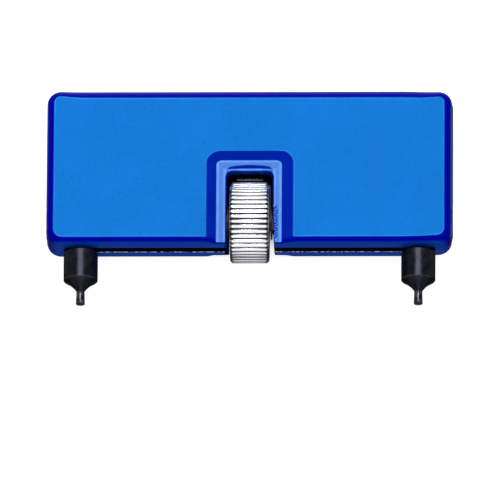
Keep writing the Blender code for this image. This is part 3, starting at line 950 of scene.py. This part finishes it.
def thumbwheel():
    """The plated wheel, with a sunk web on both sides."""
    half = (WHEEL_HIGH.x - WHEEL_LOW.x) / 2
    radius = (WHEEL_HIGH.z - WHEEL_LOW.z) / 2
    web = [
        (WHEEL_BORE, 0.0),
        (WHEEL_HUB, 0.0),
        (WHEEL_HUB + WEB_STEP, WEB_SINK),
        (WHEEL_WEB, WEB_SINK),
        (WHEEL_WEB + WEB_STEP, 0.0),
    ]
    chamfer = [half - RIM_CHAMFER * MM * i / RIM_CHAMFER_STEPS for i in range(RIM_CHAMFER_STEPS + 1)]
    alongs = [-along for along in chamfer] + [0.0] + chamfer[::-1]

    def web_row(side, at, sink):
        return wheel_row(side * (half - sink * MM), lambda turn: at * MM)

    rows = [web_row(-1, at, sink) for at, sink in web]
    rows += [rim_row(along, half, radius) for along in alongs]
    rows += [web_row(1, at, sink) for at, sink in reversed(web)]
    mesh = wrapped_mesh("fluted_wheel", rows, ring_shaped=True)
    place = Matrix.Translation(AXIS)
    return add_piece("fluted_wheel", mesh, "thumbwheel", NICKEL, place, ["thumbwheel"])


# ---- jaw pins ---------------------------------------------------------------------


def pin_flare(radius):
    """The concave flare from the shank's edge down to the tip's neck."""
    start = Vector((PIN_SHOULDER * MM, radius - PIN_EDGE * MM))
    bend = Vector(((PIN_SHOULDER - FLARE_BEND) * MM, FLARE_BEND_RADIUS * MM))
    end = Vector((FLARE_END * MM, FLARE_END_RADIUS * MM))
    points = []
    for i in range(FLARE_STEPS + 1):
        t = i / FLARE_STEPS
        point = start * (1 - t) ** 2 + bend * 2 * t * (1 - t) + end * t**2
        points.append((point.x, point.y))
    return points


def jaw_pin(side, sign):
    """A turned pin with a chamfered shank, a concave flare and a slim tip."""
    top = PIN_HIGH.y - JAW_EDGE_Y
    tip = PIN_LOW.y - JAW_EDGE_Y
    radius = (PIN_HIGH.x - PIN_LOW.x) / 2 + PIN_FULLNESS * MM
    shoulder = PIN_SHOULDER * MM
    edge = PIN_EDGE * MM
    profile = [(top, 0.0), (top, radius - 2 * edge)]
    profile += [(top - edge * t * t, radius - 2 * edge + 2 * edge * t) for t in (0.4, 0.75, 1.0)]
    support = SHANK_SUPPORT * MM
    profile += [(top - support, radius), (shoulder + support, radius), (shoulder + edge, radius)]
    profile += pin_flare(radius)
    profile += [
        (tip + TIP_NECK * MM, TIP_NECK_RADIUS * MM),
        (tip + 0.12 * MM, TIP_RADIUS * MM),
        (tip + 0.03 * MM, (TIP_RADIUS - 0.03) * MM),
        (tip, (TIP_RADIUS - 0.12) * MM),
        (tip, 0.0),
    ]
    name = f"{side}_pin_turned"
    mesh = wrapped_mesh(name, lathe(profile, PIN_SIDES))
    mesh.transform(Matrix.Rotation(math.radians(90), 4, "Z"))
    place = Matrix.Translation((sign * JAW_X, JAW_EDGE_Y, AXIS.z))
    nodes = [f"{side}_jaw_pin"]
    return add_piece(name, mesh, f"{side}_jaw", BLACK_STEEL, place, nodes)


# ---- lead screws and plugs ----------------------------------------------------------


def thread_row(along, radius, end_cut):
    """One row of a right-hand thread's helix."""
    row = []
    for i in range(THREAD_SIDES):
        turn = i / THREAD_SIDES
        phase = (along / (THREAD_PITCH * MM) - turn) % 1.0
        cut = 1 - min(1.0, abs(phase - 0.5) * 2 / THREAD_FLANKS)
        r = radius - THREAD_DEPTH * MM * cut - end_cut
        row.append(Vector((along, r * math.cos(math.tau * turn), r * math.sin(math.tau * turn))))
    return row


def lead_screw(side, sign):
    """Half the lead screw with a real helical thread, right-handed on +X and left-handed
    on -X, and a plain journal at its outer end."""
    radius = (SCREW_HIGH.z - SCREW_LOW.z) / 2
    start = SCREW_LOW.x
    end = SCREW_HIGH.x
    step = THREAD_PITCH * MM / THREAD_STEPS
    last = round((THREAD_END * MM - start) / step)
    rows = [[Vector((start, 0.0, 0.0))]]
    for k in range(last + 1):
        end_cut = THREAD_END_CUT * MM if k in (0, last) else 0.0
        rows.append(thread_row(start + k * step, radius, end_cut))
    journal = [
        ((THREAD_END + 0.1) * MM, JOURNAL_RADIUS * MM),
        (end - 0.15 * MM, JOURNAL_RADIUS * MM),
        (end, (JOURNAL_RADIUS - 0.15) * MM),
        (end, 0.0),
    ]
    rows += lathe(journal, THREAD_SIDES)
    name = f"{side}_screw_thread"
    mesh = wrapped_mesh(name, rows)
    if sign < 0:
        turned_over(mesh)
    place = Matrix.Translation(AXIS)
    nodes = [f"{side}_lead_screw"]
    return add_piece(name, mesh, "thumbwheel", PLAIN_STEEL, place, nodes)


def end_plug(side, sign):
    """The painted plug that closes the bore, rounded at its edge and flush with the end's
    draft."""
    inner = PLUG_LOW.x
    outer = PLUG_HIGH.x - PLUG_SINK * MM
    draft = RIGHT_DRAFT if sign > 0 else LEFT_DRAFT
    radius = (PLUG_BORE_RADIUS - PLUG_CLEARANCE) * MM
    edge = PLUG_EDGE * MM
    profile = [(inner, 0.0), (inner, radius)]
    for degrees in (90.0, 67.5, 45.0, 22.5, 0.0):
        angle = math.radians(degrees)
        across = edge * math.cos(angle)
        upward = edge * math.sin(angle)
        profile.append((outer - edge + across, radius - edge + upward))
    profile.append((outer, 0.0))
    rows = lathe(profile, PLUG_SIDES)
    for row in rows[2:]:
        for point in row:
            point.x -= draft * abs(point.z) / HALF_THICKNESS
    name = f"{side}_plug_turned"
    mesh = wrapped_mesh(name, rows)
    if sign < 0:
        turned_over(mesh)
    mesh.transform(Matrix.Translation((0.0, AXIS_HEIGHT * MM, 0.0)))
    place = Matrix.Translation((0.0, JAW_EDGE_Y, PARTING_Z))
    return add_piece(name, mesh, "body", PAINT, place, [f"{side}_end_plug"])


def finish_cad_nodes():
    """Better materials for the CAD nodes whose shape is right."""
    finishes = {
        "wheel_set_screw": DARK_STEEL,
        # Dark steel on the slide nuts also stands for painted shade where they sit in the slot.
        "slide_nut": DARK_STEEL,
        "thrust_washer": DARK_STEEL,
        "end_bush": BRONZE,
    }
    for name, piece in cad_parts.items():
        for part, material in finishes.items():
            if name.endswith(part):
                piece.data.materials.clear()
                piece.data.materials.append(material)


# ---- stage ------------------------------------------------------------------------

# The camera and the floor, in metres.
CAMERA_DISTANCE = 3.2
CAMERA_AIM_X = 0.08 * MM
CAMERA_TILT = math.radians(21.0)
CAMERA_TURN = math.radians(1.2)
CAMERA_ROLL = math.radians(0.1)
FRAME_WIDTH = 0.1
SENSOR_MM = 36.0
FLOOR_SIZE = 8.0
CLIP_NEAR = 0.05
CLIP_FAR = 20.0
FLOOR_GLOW = 0.86
FLOOR_GREY = (0.5, 0.5, 0.5)
SHADE_GREY = (0.004, 0.004, 0.006)

# The body's shadow on the floor, in millimetres: how far inside the body's ends and edges its
# middle line lies, how far it reaches either way from there, and its share of the full light.
SHADOW_END_INSET = 3.0
SHADOW_EDGE_INSET = 3.5
SHADOW_RISE = 1.0
SHADOW_REACH = (-4.0, 2.0)
SHADOW_DARKEST = 0.04
SHADE_INSET = 3.0
SHADE_HEIGHT = 0.3

# The studio's light: how bright each part of its sphere is.
SKY = 0.33
STRIP = 0.85
BELOW = 0.11
RING = 11.0
RING_START = (math.radians(5.0), math.radians(6.5))
RING_END = (math.radians(14.0), math.radians(12.0))
STRIP_RANGE = (0.45, 0.08)
BELOW_RANGE = (-0.66, -0.42)
TINT_RANGE = (-0.25, -0.6)
SKY_WHITE = (0.97, 0.98, 1.0)
BELOW_BLUE = (0.78, 0.82, 1.0)


def to_camera():
    """The direction from the object to the camera."""
    across = math.sin(CAMERA_TURN)
    forward = math.cos(CAMERA_TILT) * math.cos(CAMERA_TURN)
    return Vector((across, -math.sin(CAMERA_TILT), forward)).normalized()


def flat_sheet(name, low, high, height):
    """A level rectangle that is part of the stage."""
    mesh = bpy.data.meshes.new(name)
    corners = [(low[0], low[1]), (high[0], low[1]), (high[0], high[1]), (low[0], high[1])]
    mesh.from_pydata([(x, y, height) for x, y in corners], [], [(0, 1, 2, 3)])
    made = bpy.data.objects.new(name, mesh)
    bpy.context.scene.collection.objects.link(made)
    return made


def contact_light(n):
    """The floor's light: dark under the body and full a little way out."""
    x, y, z = n.split(n.coordinates())
    middle = (BODY_LOW.y + BODY_HIGH.y) / 2 + SHADOW_RISE * MM
    half_height = (BODY_HIGH.y - BODY_LOW.y) / 2
    beyond_end = n.minus(n.size(x), BODY_HIGH.x - SHADOW_END_INSET * MM)
    from_middle = n.size(n.minus(y, middle))
    beyond_edge = n.minus(from_middle, half_height - SHADOW_EDGE_INSET * MM)
    share = n.ramp_mm(n.larger(beyond_end, beyond_edge), *SHADOW_REACH)
    return n.math("MULTIPLY_ADD", share, 1.0 - SHADOW_DARKEST, SHADOW_DARKEST)


def floor():
    """A pale floor, bright enough to stay white, with the body's soft shadow on it."""
    reach = FLOOR_SIZE / 2
    made = flat_sheet("floor", (-reach, -reach), (reach, reach), 0.0)
    made.visible_glossy = False
    made.visible_diffuse = False
    made.visible_shadow = False
    n = new_material("floor")
    lit = contact_light(n)
    material = n.finish(
        Base_Color=n.mix(lit, (0.0, 0.0, 0.0), FLOOR_GREY),
        Emission_Color=(1.0, 1.0, 1.0),
        Emission_Strength=n.product(lit, FLOOR_GLOW),
        Roughness=0.9,
        Specular_IOR_Level=0.0,
    )
    made.data.materials.append(material)


def shade():
    """A dark sheet just over the floor, for the body's shadow as seen in reflections."""
    inset = SHADE_INSET * MM
    low = (BODY_LOW.x + inset, JAW_EDGE_Y + inset / 2)
    high = (BODY_HIGH.x - inset, BODY_HIGH.y - inset)
    made = flat_sheet("shade", low, high, SHADE_HEIGHT * MM)
    made.visible_camera = False
    made.visible_shadow = False
    n = new_material("shade")
    made.data.materials.append(
        n.finish(Base_Color=SHADE_GREY, Roughness=0.9, Specular_IOR_Level=0.0)
    )


def studio():
    """Soft light from all round: brighter in a band over the object, dimmer from below, with a
    ring light where the flat faces would mirror it and its open middle exactly there."""
    seen = to_camera()
    mirror = Vector((-seen.x, -seen.y, seen.z))
    world = bpy.data.worlds.new("studio")
    n = Nodes(world)
    x, y, z = n.split(n.coordinates("Generated"))
    toward = n.plus(n.plus(n.product(x, mirror.x), n.product(y, mirror.y)), n.product(z, mirror.z))
    off = n.math("ARCCOSINE", n.smaller(toward, 1.0))
    ring = n.product(n.ramp(off, *RING_START), n.ramp(off, *RING_END))
    band = n.ramp(n.size(x), *STRIP_RANGE, SKY, SKY + STRIP)
    above = n.ramp(z, *BELOW_RANGE, BELOW, 1.0)
    light = n.math("MULTIPLY_ADD", ring, RING, n.product(band, above))
    background = n.tree.nodes["Background"]
    n.put(background.inputs["Color"], n.mix(n.ramp(z, *TINT_RANGE), SKY_WHITE, BELOW_BLUE))
    n.put(background.inputs["Strength"], light)
    bpy.context.scene.world = world


def camera():
    """A long lens from the jaws' side, nearly square to the front face."""
    data = bpy.data.cameras.new("camera")
    data.lens = SENSOR_MM * CAMERA_DISTANCE / FRAME_WIDTH
    data.sensor_width = SENSOR_MM
    data.clip_start = CLIP_NEAR
    data.clip_end = CLIP_FAR
    made = bpy.data.objects.new("camera", data)
    bpy.context.scene.collection.objects.link(made)
    way = to_camera()
    target = Vector((CAMERA_AIM_X, JAW_EDGE_Y, PARTING_Z))
    right = (Vector((1.0, 0.0, 0.0)) - way * way.x).normalized()
    right = Matrix.Rotation(-CAMERA_ROLL, 3, way) @ right
    axes = Matrix((right, way.cross(right), way)).transposed().to_4x4()
    made.matrix_world = Matrix.Translation(target + way * CAMERA_DISTANCE) @ axes
    bpy.context.scene.camera = made


camera()
floor()
shade()
studio()
bpy.context.scene.view_settings.view_transform = "Standard"
bpy.context.scene.view_settings.look = "None"

body_shell()
thumbwheel()
for side_name, direction in (("left", -1), ("right", 1)):
    jaw_pin(side_name, direction)
    lead_screw(side_name, direction)
    end_plug(side_name, direction)
finish_cad_nodes()
